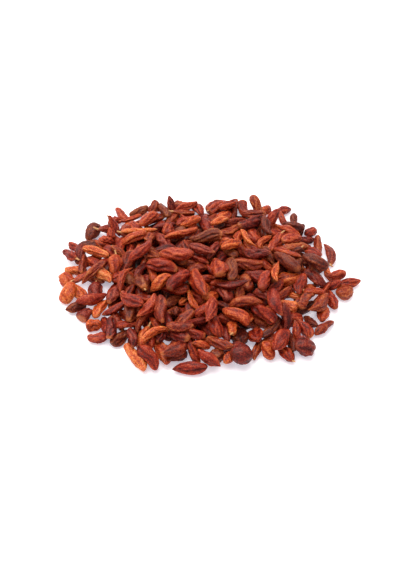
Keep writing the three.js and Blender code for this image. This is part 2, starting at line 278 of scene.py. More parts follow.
@dataclass
class HeapMap:
    """A map of the heap's upper surface, on which berries come to rest.

    Under a berry's outline the middle surface is lifted by the tilts, and the berry reaches half its
    height over and under it, which falls to nothing at the outline as an ellipse's does.
    """

    cell: float = 1.0
    column_max: int = 100
    row_max: int = 90
    press: float = 0.4
    tries: int = 36
    fine_play: float = 0.3
    room_reach: int = 3
    shown_depth: float = 0.6
    heights: np.ndarray = field(init=False)

    def __post_init__(self) -> None:
        """Starts the map as the bare surface."""
        self.heights = np.zeros((2 * self.row_max + 1, 2 * self.column_max + 1))

    def span(self, at: float, reach: float, limit: int) -> np.ndarray:
        """The cells within reach of a place along one axis, counted from the middle up to a limit."""
        low = max(-limit, math.ceil((at - reach) / self.cell))
        return np.arange(low, min(limit, math.floor((at + reach) / self.cell)) + 1)

    def footprint(self, berry: Berry, pose: Pose) -> tuple[tuple, np.ndarray, np.ndarray]:
        """What lies under a berry in a pose.

        Args:
            berry: the berry.
            pose: its place and turns.

        Returns:
            The map's cells under it, the lift of its middle surface there and half its height there.
        """
        cosine, sine = math.cos(pose.heading), math.sin(pose.heading)
        reach = berry.length / 2 * math.cos(pose.pitch)
        half_width = berry.width / 2 * math.cos(pose.roll)
        half_height = berry.thickness / 2 / (math.cos(pose.pitch) * math.cos(pose.roll))
        columns = self.span(pose.x, reach + berry.width, self.column_max)[None, :]
        rows = self.span(pose.y, reach + berry.width, self.row_max)[:, None]
        dx = columns * self.cell - pose.x
        dy = rows * self.cell - pose.y
        along = dx * cosine + dy * sine
        t = along / reach
        inner = np.maximum(1 - t * t, 0.0)
        girth = inner**berry.taper * (1 + berry.skew * t)
        across = dy * cosine - dx * sine - berry.bow * berry.length * (1 / 3 - t * t)
        with np.errstate(divide="ignore", invalid="ignore"):
            side = across / (half_width * girth)
            inside = (np.abs(t) < 1) & (np.abs(side) < 1)
            half = half_height * girth * np.sqrt(np.maximum(1 - side * side, 0.0))
        lift = along * math.tan(pose.pitch) + across * math.tan(pose.roll)
        row_at, column_at = np.nonzero(inside)
        cells = (rows[row_at, 0] + self.row_max, columns[0, column_at] + self.column_max)
        return cells, lift[inside], half[inside]

    def resting_height(self, berry: Berry, pose: Pose) -> float:
        """The height of a berry's middle where its underside meets the heap.

        Args:
            berry: the berry.
            pose: its place and turns.

        Returns:
            The height.
        """
        cells, lift, half = self.footprint(berry, pose)
        if not len(lift):
            return 0.0
        under = np.maximum(self.heights[cells] - self.press, 0.0)
        return max(0.0, float((under - lift + half).max()))

    def settle(self, berry: Berry, wanted: Pose, play: Play, draws: Draws) -> Berry:
        """Tries poses about the wanted one, takes the lowest and adds the berry there.

        Args:
            berry: the berry.
            wanted: the pose to start from.
            play: how far the tries stray.
            draws: the seeded draws.

        Returns:
            The same berry, with its place.
        """
        best, lowest = wanted, self.resting_height(berry, wanted)
        most = (play.shift, play.shift, play.turn, play.tilt, play.tilt)
        for k in range(self.tries):
            start, share = (wanted, 1.0) if k < self.tries / 2 else (best, self.fine_play)
            around = zip(astuple(start), most)
            pose = Pose(*(value + draws.between(-1, 1) * stray * share for value, stray in around))
            z = self.resting_height(berry, pose)
            if z < lowest:
                best, lowest = pose, z
        berry.pose, berry.z = best, lowest
        cells, lift, half = self.footprint(berry, best)
        self.heights[cells] = np.maximum(self.heights[cells], lowest + lift + half)
        return berry

    def mean_height(self, x: float, y: float) -> float:
        """The mean height round a place.

        Args:
            x: the place along X.
            y: the place along Y.

        Returns:
            The height.
        """
        row = math.floor(y / self.cell + 0.5) + self.row_max
        column = math.floor(x / self.cell + 0.5) + self.column_max
        near = self.room_reach
        patch = self.heights[row - near : row + near + 1, column - near : column + near + 1]
        return float(patch.sum()) / (2 * near + 1) ** 2

    def shown_share(self, berry: Berry) -> float:
        """How much of a berry's upper side lies open.

        Args:
            berry: the berry, in its place.

        Returns:
            The share, from 0 to 1.
        """
        cells, lift, half = self.footprint(berry, berry.pose)
        if not len(lift):
            return 0.0
        return float((berry.z + lift + half > self.heights[cells] - self.shown_depth).mean())


@dataclass
class Pour:
    """The pouring of a heap: rim berries on the bare surface, then loose ones, then the top ones."""

    heap: HeapMap
    seed: int = 44
    peak: tuple[float, float] = (0.0, 8.0)
    rim_radii: tuple[float, ...] = (73, 70, 69, 60, 65, 71, 75, 74, 70, 68, 69, 73)
    peak_height: float = 12.0
    rim_height: float = 4.5
    slope_power: float = 1.9
    berries: int = 315
    inset: float = 6.0
    places: int = 12
    leaning_share: float = 0.16
    lean: float = 0.8
    plump_width: float = 0.55
    sliver_width: float = 0.33
    width_spread: tuple[float, float] = (0.86, 1.14)
    laid_play: Play = Play(0.0, 0.0, 0.15)
    poured_play: Play = Play(3.0, 0.5, 0.5)
    tone_shares: tuple[tuple[Tone, float], ...] = (
        (BRICK, 0.28),
        (EMBER, 0.2),
        (RUSSET, 0.18),
        (ORANGE, 0.06),
        (MAROON, 0.14),
        (UMBER, 0.14),
    )
    draws: Draws = field(init=False)

    def __post_init__(self) -> None:
        """Starts the seeded draws."""
        self.draws = Draws(self.seed)

    def rim_radius(self, angle: float) -> float:
        """The rim's distance from the peak in a direction, eased between the named ones.

        Args:
            angle: the direction, in radians from +X.

        Returns:
            The distance.
        """
        count = len(self.rim_radii)
        step = (angle / (2 * math.pi) * count + count) % count
        start = math.floor(step) % count
        part = step - math.floor(step)
        ease = part * part * (3 - 2 * part)
        return self.rim_radii[start] * (1 - ease) + self.rim_radii[(start + 1) % count] * ease

    def wanted_height(self, x: float, y: float) -> float:
        """The mean height that the berries are poured to.

        Args:
            x: the place along X.
            y: the place along Y.

        Returns:
            The height.
        """
        dx, dy = x - self.peak[0], y - self.peak[1]
        out = min(1.0, math.hypot(dx, dy) / self.rim_radius(math.atan2(dy, dx)))
        return self.rim_height + (self.peak_height - self.rim_height) * (1 - out**self.slope_power)

    def shaped(self, kind: Kind, length: float, width: float) -> Berry:
        """A berry of a kind and size, with its own ends and bow.

        Args:
            kind: the kind.
            length: its length.
            width: its width.

        Returns:
            The berry, in no place yet.
        """
        shape = kind.value
        taper = self.draws.between(*shape.taper)
        skew = shape.skew * self.draws.between(-1, 1)
        bow = shape.bow * self.draws.between(-1, 1)
        return Berry(length, width, width * shape.thickness, taper, skew, bow, kind)

    def drawn(self) -> Berry:
        """A berry drawn from the kinds by their shares.

        Returns:
            The berry.
        """
        kind = self.draws.picked({kind: kind.value.share for kind in Kind})
        length = self.draws.between(*kind.value.length)
        width = length * kind.value.width * self.draws.between(*self.width_spread)
        return self.shaped(kind, length, width)

    def lay(self, laid: Laid) -> Berry:
        """Lays a stated berry, of the kind that its slimness gives, on the heap.

        Args:
            laid: the stated berry.

        Returns:
            The berry in its place, with its colour.
        """
        slimness = laid.width / laid.length
        slim = Kind.SLIVER if slimness < self.sliver_width else Kind.SPINDLE
        kind = Kind.PLUMP if slimness > self.plump_width else slim
        berry = self.shaped(kind, laid.length, laid.width)
        wanted = Pose(laid.x, laid.y, laid.heading * math.pi / 180, laid.lean * math.pi / 180)
        berry.tone = laid.tone
        return self.heap.settle(berry, wanted, self.laid_play, self.draws)

    def roomiest(self) -> tuple[float, float]:
        """The place with most room among a few drawn inside the rim.

        Returns:
            The place.
        """
        best, most = (0.0, 0.0), -math.inf
        for _ in range(self.places):
            angle = self.draws.between(-math.pi, math.pi)
            distance = (self.rim_radius(angle) - self.inset) * math.sqrt(self.draws.between(0, 1))
            x = self.peak[0] + distance * math.cos(angle)
            y = self.peak[1] + distance * math.sin(angle)
            room = self.wanted_height(x, y) - self.heap.mean_height(x, y)
            if room > most:
                best, most = (x, y), room
        return best

    def pour_one(self) -> Berry:
        """Pours one loose berry.

        Returns:
            The berry in its place.
        """
        berry = self.drawn()
        x, y = self.roomiest()
        heading = self.draws.between(-math.pi, math.pi)
        lean = self.lean if self.draws.between(0, 1) < self.leaning_share else 0.0
        wanted = Pose(x, y, heading, lean * self.draws.between(-1, 1))
        return self.heap.settle(berry, wanted, self.poured_play, self.draws)

    def run(self) -> list[Berry]:
        """Pours the whole heap.

        Returns:
            The berries in the order in which they came down.
        """
        berries = [self.lay(Laid(*row)) for row in RIM_BERRIES]
        berries += [self.pour_one() for _ in range(self.berries)]
        berries += [self.lay(Laid(*row)) for row in TOP_BERRIES]
        for berry in berries:
            berry.shown = self.heap.shown_share(berry)
            berry.tone = berry.tone or self.draws.picked(dict(self.tone_shares))
        return berries


def linear(code: str) -> tuple[float, float, float, float]:
    """Turns an sRGB hex colour to linear light.

    Args:
        code: the colour as "#RRGGBB".

    Returns:
        Red, green, blue and a full alpha.
    """
    parts = [int(code[k : k + 2], 16) / 255 for k in (1, 3, 5)]
    red, green, blue = (c / 12.92 if c <= 0.04045 else ((c + 0.055) / 1.055) ** 2.4 for c in parts)
    return red, green, blue, 1.0


def put(tree: NodeTree, kind: str, inputs: dict[str | int, object], **settings: object) -> Node:
    """Adds a node with its settings, values and links.

    Args:
        tree: the material's or world's nodes.
        kind: the node's type.
        inputs: each input's name or number, with the value or the socket that feeds it.
        settings: the node's own settings.

    Returns:
        The node.
    """
    node = tree.nodes.new(kind)
    for name, value in settings.items():
        setattr(node, name, value)
    for name, value in inputs.items():
        if isinstance(value, NodeSocket):
            tree.links.new(value, node.inputs[name])
        else:
            node.inputs[name].default_value = value
    return node


def fresh_material(name: str) -> Material:
    """An empty node material.

    Args:
        name: its name.

    Returns:
        The material.
    """
    material = bpy.data.materials.new(name)
    material.use_nodes = True
    material.node_tree.nodes.clear()
    return material


def unrolled(tree: NodeTree, grain_mm: tuple[float, float]) -> NodeSocket:
    """Coordinates on the unrolled skin, in steps of a pattern's grain.

    Args:
        tree: the material's nodes.
        grain_mm: the grain's size across and along the piece.

    Returns:
        The coordinates' socket.
    """
    place = put(tree, "ShaderNodeTexCoord", {})
    across, along = grain_mm
    inputs = {"Vector": place.outputs["UV"], "Scale": (1 / across, 1 / along, 1.0)}
    return put(tree, "ShaderNodeMapping", inputs).outputs["Vector"]


def mixed(tree: NodeTree, share: NodeSocket, first: object, second: object) -> NodeSocket:
    """Mixes two colours, which are the node's inputs 6 and 7 and its output 2, by a share."""
    return put(tree, "ShaderNodeMix", {0: share, 6: first, 7: second}, data_type="RGBA").outputs[2]


def raised(tree: NodeTree, height: NodeSocket, depth_mm: float) -> NodeSocket:
    """Raises a pattern into a relief of a real depth."""
    inputs = {"Height": height, "Distance": depth_mm * MM, "Strength": 1.0}
    return put(tree, "ShaderNodeBump", inputs).outputs["Normal"]


def close(tree: NodeTree, inputs: dict[str, object]) -> None:
    """Ends a material with its shader."""
    shader = put(tree, "ShaderNodeBsdfPrincipled", inputs)
    put(tree, "ShaderNodeOutputMaterial", {"Surface": shader.outputs["BSDF"]})


@dataclass(frozen=True)
class SkinFinish:
    """Dried berry skin: a thin leathery hide that is matt, with painted shade in its folds and a painted
    highlight on its ridges.

    The four colours run from painted shade at the bottom of a fold to a pale ridge with its painted
    highlight.
    Each place takes one of them by the berry's own lightness, by patches, mottling, specks and wrinkles, by
    painted shade as deep as it lies in a fold, by a painted highlight as high as it lies on a ridge, and by
    a pale end, partly the end's real colour and partly painted glow of light through it, so that a berry
    goes from near black to orange within its own hue. The shares say how far each of these moves the colour,
    and the details how finely patches, mottling, specks and wrinkles break up. A thin coat gives the small
    glints of sugar that has dried on the skin.
    """

    name: str
    colours: tuple[str, str, str, str]
    stops: tuple[float, float, float, float] = (0.0, 0.36, 0.66, 1.0)
    # the pale end colour: partly the end's real colour, partly painted glow of light through the thin end
    pale_end_and_painted_glow: str = "#C8703E"
    patch_mm: float = 7.0
    patch_share: float = 0.9
    mottle_mm: float = 2.6
    mottle_share: float = 0.7
    speck_mm: float = 0.6
    speck_share: float = 2.1
    wrinkle_mm: tuple[float, float] = (1.3, 3.6)
    wrinkle_share: float = 0.8
    wrinkle_depth_mm: float = 0.75
    details: tuple[float, float, float, float] = (1.0, 3.0, 2.0, 3.0)
    break_up: float = 0.6
    noise_mean: float = 0.5
    # painted shade in folds and a painted highlight on ridges, as shares of the level
    painted_fold_shade_share: float = -0.26
    painted_ridge_highlight_share: float = 0.2
    pale_end_and_painted_glow_share: float = 0.3
    roughness: float = 0.46
    roughness_spread: float = 0.3
    specular: float = 0.2
    ior: float = 1.4
    coat: float = 0.22
    coat_roughness: float = 0.2
    glow: float = 0.2
    glow_mm: float = 1.2
    glow_reach: tuple[float, float, float] = (1.0, 0.25, 0.1)

    def reckoned(self, tree: NodeTree, operation: str, *values: object) -> NodeSocket:
        """Works out a number from others, which are values or sockets."""
        return put(tree, "ShaderNodeMath", dict(enumerate(values)), operation=operation).outputs[0]

    def noise(self, tree: NodeTree, place: NodeSocket, scale: float, detail: float) -> NodeSocket:
        """A cloudy pattern, about 0.5 on average, with so many clouds to a unit of the place."""
        inputs = {"Vector": place, "Scale": scale, "Detail": detail, "Roughness": self.break_up}
        return put(tree, "ShaderNodeTexNoise", inputs).outputs["Fac"]

    def ramp(self, tree: NodeTree, level: NodeSocket) -> NodeSocket:
        """Turns a level into a colour between the four.

        Args:
            tree: the material's nodes.
            level: the level, 0 at the darkest colour and 1 at the palest.

        Returns:
            The colour's socket.
        """
        node = put(tree, "ShaderNodeValToRGB", {"Fac": level})
        points = node.color_ramp.elements
        points[0].position, points[1].position = self.stops[0], self.stops[3]
        points[0].color, points[1].color = linear(self.colours[0]), linear(self.colours[3])
        for stop, colour in zip(self.stops[1:3], self.colours[1:3]):
            points.new(stop).color = linear(colour)
        return node.outputs["Color"]

    def material(self) -> Material:
        """Makes the skin.

        Returns:
            The material.
        """
        made = fresh_material(self.name)
        tree = made.node_tree
        place = put(tree, "ShaderNodeTexCoord", {})
        marks = put(tree, "ShaderNodeAttribute", {}, attribute_name="skin_marks_and_painted_light")
        split = put(tree, "ShaderNodeSeparateColor", {"Color": marks.outputs["Color"]})
        # the marks: painted fold shade, the pale end with its painted glow, the berry's own lightness, and a
        # painted highlight on ridges in the alpha
        painted_fold_shade, pale_end_and_painted_glow, shade = split.outputs[0], split.outputs[1], split.outputs[2]
        ridge = marks.outputs["Alpha"]
        grains = zip((self.patch_mm, self.mottle_mm, self.speck_mm), self.details)
        patch, mottle, speck = (
            self.noise(tree, place.outputs["Object"], 1 / (grain * MM), detail) for grain, detail in grains
        )
        wrinkle = self.noise(tree, unrolled(tree, self.wrinkle_mm), 1.0, self.details[3])
        level = shade
        parts = (
            (patch, self.patch_share, self.noise_mean),
            (mottle, self.mottle_share, self.noise_mean),
            (speck, self.speck_share, self.noise_mean),
            (wrinkle, self.wrinkle_share, self.noise_mean),
            # painted shade in folds, a painted highlight on ridges and painted glow at the pale ends
            (painted_fold_shade, self.painted_fold_shade_share, 0.0),
            (ridge, self.painted_ridge_highlight_share, 0.0),
            (pale_end_and_painted_glow, self.pale_end_and_painted_glow_share, 0.0),
        )
        for pattern, share, middle in parts:
            moved = self.reckoned(tree, "SUBTRACT", pattern, middle)
            level = self.reckoned(tree, "MULTIPLY_ADD", moved, share, level)
        relief = self.reckoned(tree, "MULTIPLY_ADD", speck, 1.0, wrinkle)
        least = self.roughness - self.roughness_spread / 2
        gloss = self.reckoned(tree, "MULTIPLY_ADD", mottle, self.roughness_spread, least)
        close(
            tree,
            {
                "Base Color": mixed(tree, pale_end_and_painted_glow, self.ramp(tree, level), linear(self.pale_end_and_painted_glow)),
                "Roughness": gloss,
                "Normal": raised(tree, relief, self.wrinkle_depth_mm),
                "IOR": self.ior,
                "Specular IOR Level": self.specular,
                "Coat Weight": self.coat,
                "Coat Roughness": self.coat_roughness,
                "Subsurface Weight": self.glow,
                "Subsurface Radius": self.glow_reach,
                "Subsurface Scale": self.glow_mm * MM,
            },
        )
        return made


# Each skin's four colours run from painted shade at the bottom of a fold to a pale ridge with its painted
# highlight; the berries' own tones lie between.
SKINS = {
    BRICK: SkinFinish("sun_dried_goji_skin_brick", ("#4E0300", "#841A08", "#9E3016", "#C25834")),
    EMBER: SkinFinish("sun_dried_goji_skin_ember", ("#5A0500", "#902409", "#AA3A16", "#CE6838")),
    RUSSET: SkinFinish("sun_dried_goji_skin_russet", ("#4C0500", "#7E200A", "#963616", "#B86234")),
    ORANGE: SkinFinish("sun_dried_goji_skin_orange", ("#761F08", "#B03F12", "#CA5925", "#E08A50"), glow=0.3),
    MAROON: SkinFinish("sun_dried_goji_skin_maroon", ("#3A0100", "#640D06", "#7E2012", "#A44A34")),
    UMBER: SkinFinish("sun_dried_goji_skin_umber", ("#3A0300", "#5E1506", "#782A10", "#98502A")),
}
# The core's skin is painted shade, darker than any berry's, standing for berries that lie deep in shadow.
SHADED_CORE_SKIN = SkinFinish("sun_dried_goji_skin_shaded", ("#220302", "#3A0805", "#4C120A", "#601C12"), glow=0.0)


@dataclass(frozen=True)
class FoldRule:
    """How deeply a kind of berry is folded, in shares of its radius."""

    facet: tuple[float, float]
    furrow: tuple[float, float]
    hollow: tuple[float, float]
    crinkle: float


FOLDS = {
    Kind.SPINDLE: FoldRule((0.62, 0.98), (0.08, 0.34), (0.0, 0.3), 0.125),
    Kind.PLUMP: FoldRule((0.66, 1.0), (0.08, 0.3), (0.05, 0.3), 0.12),
    Kind.SLIVER: FoldRule((0.56, 0.95), (0.05, 0.28), (0.1, 0.35), 0.12),
    Kind.CRUMPLE: FoldRule((0.56, 0.95), (0.12, 0.38), (0.15, 0.5), 0.155),
}


@dataclass(frozen=True)
class Grid:
    """A closed surface's grid: rings along the berry between two poles, and sides round it."""

    rings: int
    sides: int

    @property
    def along(self) -> np.ndarray:
        """The rings' places from -1 to 1, closer together towards the poles."""
        return np.sin(np.linspace(-math.pi / 2, math.pi / 2, self.rings + 2)[1:-1])

    @property
    def around(self) -> np.ndarray:
        """The sides' angles, from the underside round."""
        return np.linspace(0, 2 * math.pi, self.sides, endpoint=False) - math.pi / 2

    def faces(self) -> tuple[np.ndarray, np.ndarray]:
        """The quads between the rings and the triangles at the poles, all facing outwards.

        Returns:
            The quads' and the triangles' vertex numbers. The poles are the last two vertices.
        """
        ring = np.arange(self.rings)[:, None] * self.sides
        side = np.arange(self.sides)[None, :]
        after = (side + 1) % self.sides
        low, high = ring[:-1], ring[1:]
        quads = np.stack([low + side, low + after, high + after, high + side], axis=-1)
        first, last = self.rings * self.sides, self.rings * self.sides + 1
        top = (self.rings - 1) * self.sides
        near = np.stack([after[0], side[0], np.full_like(side[0], first)], axis=-1)
        far = np.stack([top + side[0], top + after[0], np.full_like(side[0], last)], axis=-1)
        return quads.reshape(-1, 4), np.concatenate([near, far])

    def corners(self) -> tuple[np.ndarray, np.ndarray]:
        """Each face corner's place on the unrolled skin.

        Returns:
            For the quads and the triangles, the turn from 0 to 1 and the place along from -1 to 1.
        """
        side = np.arange(self.sides)
        turn = np.stack([side, side + 1, side + 1, side], axis=-1) / self.sides
        low, high = self.along[:-1], self.along[1:]
        length = np.stack([low, low, high, high], axis=-1)
        quads = np.stack(np.broadcast_arrays(turn[None], length[:, None]), axis=-1)
        start, end = self.along[0], self.along[-1]
        near_turn = np.stack([side + 1, side, side + 0.5], axis=-1) / self.sides
        far_turn = np.stack([side, side + 1, side + 0.5], axis=-1) / self.sides
        near = np.stack(np.broadcast_arrays(near_turn, np.array([start, start, -1.0])), axis=-1)
        far = np.stack(np.broadcast_arrays(far_turn, np.array([end, end, 1.0])), axis=-1)
        return quads.reshape(-1, 4, 2), np.concatenate([near, far])


@dataclass
class Surface:
    """A piece's mesh before it is made: places in millimetres, faces, unrolled places and skin marks."""

    points: np.ndarray
    quads: np.ndarray
    triangles: np.ndarray
    quad_uv: np.ndarray
    triangle_uv: np.ndarray
    # skin marks, which carry painted shade in folds, painted highlights on ridges and painted glow at pale
    # ends
    marks: np.ndarray

    @staticmethod
    def joined(parts: list["Surface"]) -> "Surface":
        """Joins several surfaces into one.

        Args:
            parts: the surfaces.

        Returns:
            The one surface.
        """
        starts = np.cumsum([0] + [len(part.points) for part in parts[:-1]])
        moved = [
            replace(part, quads=part.quads + start, triangles=part.triangles + start)
            for part, start in zip(parts, starts)
        ]
        names = [one.name for one in fields(Surface)]
        return Surface(*(np.concatenate([getattr(part, name) for part in moved]) for name in names))

    @staticmethod
    def of_tubes(
        skin: np.ndarray, grid: Grid, size: np.ndarray, moved: np.ndarray, marks: np.ndarray
    ) -> "Surface":
        """Makes one surface of closed tubes on the same grid.

        Args:
            skin: the places for tubes by rings by sides, with the two poles as the last rings.
            grid: the tubes' grid.
            size: the tubes' sizes when unrolled, across and half along, in millimetres.
            moved: how far each tube's unrolled skin lies from the pattern's start.
            marks: the skin marks of every vertex.

        Returns:
            The surface.
        """
        count = len(skin)
        points = np.concatenate([skin[:, :-2].reshape(count, -1, 3), skin[:, -2:, 0]], axis=1)
        points[..., 2] = np.maximum(points[..., 2], LOWEST_MM)
        quads, triangles = grid.faces()
        starts = (np.arange(count) * points.shape[1])[:, None, None]
        quad_uv, triangle_uv = grid.corners()
        return Surface(
            points.reshape(-1, 3),
            (quads[None] + starts).reshape(-1, 4),
            (triangles[None] + starts).reshape(-1, 3),
            (quad_uv[None] * size + moved).reshape(-1, 4, 2),
            (triangle_uv[None] * size + moved).reshape(-1, 3, 2),
            marks,
        )

    def piece(self, name: str, material: Material) -> Object:
        """Makes the piece, which stands for the solid heap and rides on its body.

        Args:
            name: its name.
            material: its finish.

        Returns:
            The object.
        """
        mesh = bpy.data.meshes.new(name)
        mesh.from_pydata(self.points * MM, [], self.quads.tolist() + self.triangles.tolist())
        mesh.materials.append(material)
        mesh.polygons.foreach_set("use_smooth", np.ones(len(mesh.polygons), bool))
        uv = np.concatenate([self.quad_uv.reshape(-1, 2), self.triangle_uv.reshape(-1, 2)])
        mesh.uv_layers.new(name="unrolled_mm").data.foreach_set("uv", uv.astype(np.float32).ravel())
        marks = mesh.attributes.new("skin_marks_and_painted_light", "FLOAT_COLOR", "POINT")
        marks.data.foreach_set("color", self.marks.astype(np.float32).ravel())
        mesh.update()
        made = bpy.data.objects.new(name, mesh)
        bpy.context.collection.objects.link(made)
        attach(made, BODY)
        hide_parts(NODE)
        LOG.info("%s: %d triangles", name, 2 * len(self.quads) + len(self.triangles))
        return made


def smooth(low: float, high: float, x: np.ndarray) -> np.ndarray:
    """Eases from 0 at low to 1 at high, by p^2 (3 - 2 p) for the part p of the way."""
    part = np.clip((x - low) / (high - low), 0, 1)
    return part * part * (3 - 2 * part)


def nearest_turn(angle: np.ndarray) -> np.ndarray:
    """Brings an angle between -pi and pi."""
    return (angle + math.pi) % (2 * math.pi) - math.pi


def columns(berries: list[Berry], *names: str) -> np.ndarray:
    """The berries' numbers of some names, one row to a name."""
    return np.array([attrgetter(*names)(berry) for berry in berries]).T


def headed(heading: np.ndarray, pitch: np.ndarray) -> tuple[np.ndarray, np.ndarray]:
    """The ways along berries and level to their sides.

    Args:
        heading: the berries' headings.
        pitch: their pitches.

    Returns:
        For each berry, the way along it and the level way to its left.
    """
    level = np.cos(pitch)
    axis = np.stack([np.cos(heading) * level, np.sin(heading) * level, np.sin(pitch)], -1)
    return axis, np.stack([-np.sin(heading), np.cos(heading), np.zeros(len(heading))], -1)


@dataclass
class Folds:
    """The fold factor of berries' skins, worked out for many berries at once.

    At t along a berry, from -1 to 1, and an angle round it, the factor is that of a round body with a few
    flat sides, less a broad hollow, less narrow furrows, with crinkles over all. Angles are in radians,
    lengths along a berry in shares of its half length, and depths in shares of its radius.
    """

    berries: list[Berry]
    grid: Grid
    draws: np.random.Generator
    roundness: float = 1.16
    least: float = 0.35
    most: float = 1.1
    facets: int = 5
    facet_sharpness: float = 10.0
    facet_stray: float = 0.3
    facet_twist: float = 0.5
    facet_wave: float = 0.07
    facet_waves: tuple[float, float] = (1, 4)
    facet_phase: float = 6.28
    furrows: int = 4
    furrow_stray: float = 0.4
    furrow_twist: float = 0.7
    furrow_wander: tuple[float, float] = (0.05, 0.3)
    furrow_waves: tuple[float, float] = (1.5, 6)
    furrow_width: tuple[float, float] = (0.12, 0.26)
    furrow_length: tuple[float, float] = (0.7, 1.6)
    furrow_middle: float = 0.6
    furrow_power: float = 1.2
    furrow_fade: float = 0.5
    shoulder: float = 0.25
    shoulder_off: float = 2.2
    hollow_width: float = 0.85
    hollow_length: float = 0.7
    hollow_twist: float = 0.6
    hollow_middle: float = 0.4
    crinkle_counts: tuple[int, ...] = (3, 5, 6, 8, 9, 11)
    crinkle_slants: tuple[float, ...] = (2, 4, 9, 5, 7, 12)
    crinkle_sway: tuple[float, float] = (0.2, 0.8)
    crinkle_waves: tuple[float, float] = (2, 7)
    crinkle_shares: tuple[float, float] = (0.2, 1)
    crinkle_power: float = 0.8
    crinkle_mean: float = 0.66
    end_power: int = 6
    t: np.ndarray = field(init=False)
    angle: np.ndarray = field(init=False)

    def __post_init__(self) -> None:
        """Spreads the grid's places and angles over berries by many by rings by sides."""
        self.t = self.grid.along[None, None, :, None]
        self.angle = self.grid.around[None, None, None, :]

    def even(self, low: float, high: float, many: int = 1) -> np.ndarray:
        """Even draws, so many for each berry, as an array of berries by many by one by one."""
        return self.draws.uniform(low, high, (len(self.berries), many, 1, 1))

    def about(self, most: float, many: int = 1) -> np.ndarray:
        """Even draws between minus and plus a value, shaped as those of even."""
        return self.even(-most, most, many)

    def turns(self, many: int = 1) -> np.ndarray:
        """Even draws of an angle in a full turn, shaped as those of even."""
        return self.even(0, 2 * math.pi, many)

    def ruled(self, name: str) -> np.ndarray:
        """What the rule for each berry's kind says of a fold."""
        return np.array([getattr(FOLDS[berry.kind], name) for berry in self.berries])

    def ranged(self, name: str, many: int, power: float = 1.0) -> np.ndarray:
        """Draws within each berry's rule for a fold, more of them near the least above a power of 1."""
        low, high = self.ruled(name).T[:, :, None, None, None]
        return low + (high - low) * self.even(0, 1, many) ** power

    def lines(self, many: int, stray: float, twist: float) -> np.ndarray:
        """The angles of lines that run along a berry, about evenly spaced round it.

        Args:
            many: how many lines.
            stray: how far each is off its even place, in shares of the spacing.
            twist: how far all of them turn over the berry's half length.

        Returns:
            The angles for berries by lines by rings by one.
        """
        spacing = 2 * math.pi / many
        line = np.arange(many)[None, :, None, None] * spacing + self.turns()
        line = line + self.about(stray, many) * spacing
        return line + self.about(twist) * self.t

    def flattened(self) -> np.ndarray:
        """The distance to the skin of a round body with flat sides.

        It is the soft least of 1 and, for each side, that side's distance over the cosine of the angle off
        it. Sides twist and come nearer and further along the berry.

        Returns:
            The distance for berries by rings by sides.
        """
        many, power = self.facets, self.facet_sharpness
        facing = self.lines(many, self.facet_stray, self.facet_twist)
        away = self.ranged("facet", many)
        wave = self.even(*self.facet_waves, many) * self.t + self.even(0, self.facet_phase, many)
        away = away + self.facet_wave * np.sin(wave)
        toward = np.maximum(np.cos(self.angle - facing), 0.0) / away
        return (1 + (toward**power).sum(axis=1)) ** (-1 / power)

    def furrowed(self) -> np.ndarray:
        """How deep the furrows are: narrow bells across lines that twist, wander and fade along the berry.

        Returns:
            The depth for berries by rings by sides, below 0 on the shoulders beside a furrow.
        """
        many = self.furrows
        line = self.lines(many, self.furrow_stray, self.furrow_twist)
        wave = self.even(*self.furrow_waves, many) * self.t + self.turns(many)
        off = nearest_turn(self.angle - line - self.even(*self.furrow_wander, many) * np.sin(wave))
        width = self.even(*self.furrow_width, many)
        reach = self.even(*self.furrow_length, many)
        middle = self.about(self.furrow_middle, many)
        depth = self.ranged("furrow", many, self.furrow_power)
        depth = depth * (1 - smooth(self.furrow_fade, 1.0, np.abs(self.t - middle) / reach))
        bell = np.exp(-((off / width) ** 2))
        beside = np.exp(-(((np.abs(off) - self.shoulder_off * width) / width) ** 2))
        return (depth * (bell - self.shoulder * beside)).sum(axis=1)

    def hollowed(self) -> np.ndarray:
        """How deep one side has sunk in: a broad bell round the berry and along it.

        Returns:
            The depth for berries by rings by sides.
        """
        off = nearest_turn(self.angle - self.turns() - self.about(self.hollow_twist) * self.t)
        depth = self.ranged("hollow", 1)
        along = (self.t - self.about(self.hollow_middle)) / self.hollow_length
        return (depth * np.exp(-((off / self.hollow_width) ** 2) - along**2))[:, 0]

    def crinkled(self) -> np.ndarray:
        """Crinkles: the sum of several runs of round ridges with sharp valleys, each run on its own slant.

        Returns:
            The height for berries by rings by sides, about 0 on average and nothing at the ends.
        """
        many = len(self.crinkle_counts)
        counts, slants = np.array([self.crinkle_counts, self.crinkle_slants])[:, None, :, None, None]
        slant = self.about(1, many) * slants * self.t
        sway = self.even(*self.crinkle_sway, many)
        sway = sway * np.sin(self.even(*self.crinkle_waves, many) * self.t)
        run = np.abs(np.sin(counts / 2 * self.angle + slant + sway + self.turns(many)))
        share = self.even(*self.crinkle_shares, many)
        ridges = ((run**self.crinkle_power - self.crinkle_mean) * share).sum(axis=1)
        return self.ruled("crinkle")[:, None, None] * ridges * (1 - self.t[:, 0] ** self.end_power)

    def factor(self) -> np.ndarray:
        """The fold factor, kept between its least and its most.

        Returns:
            The factor for berries by rings by sides.
        """
        factor = self.flattened() * self.roundness - self.furrowed()
        factor = factor - self.hollowed() + self.crinkled()
        return np.clip(factor, self.least, self.most)


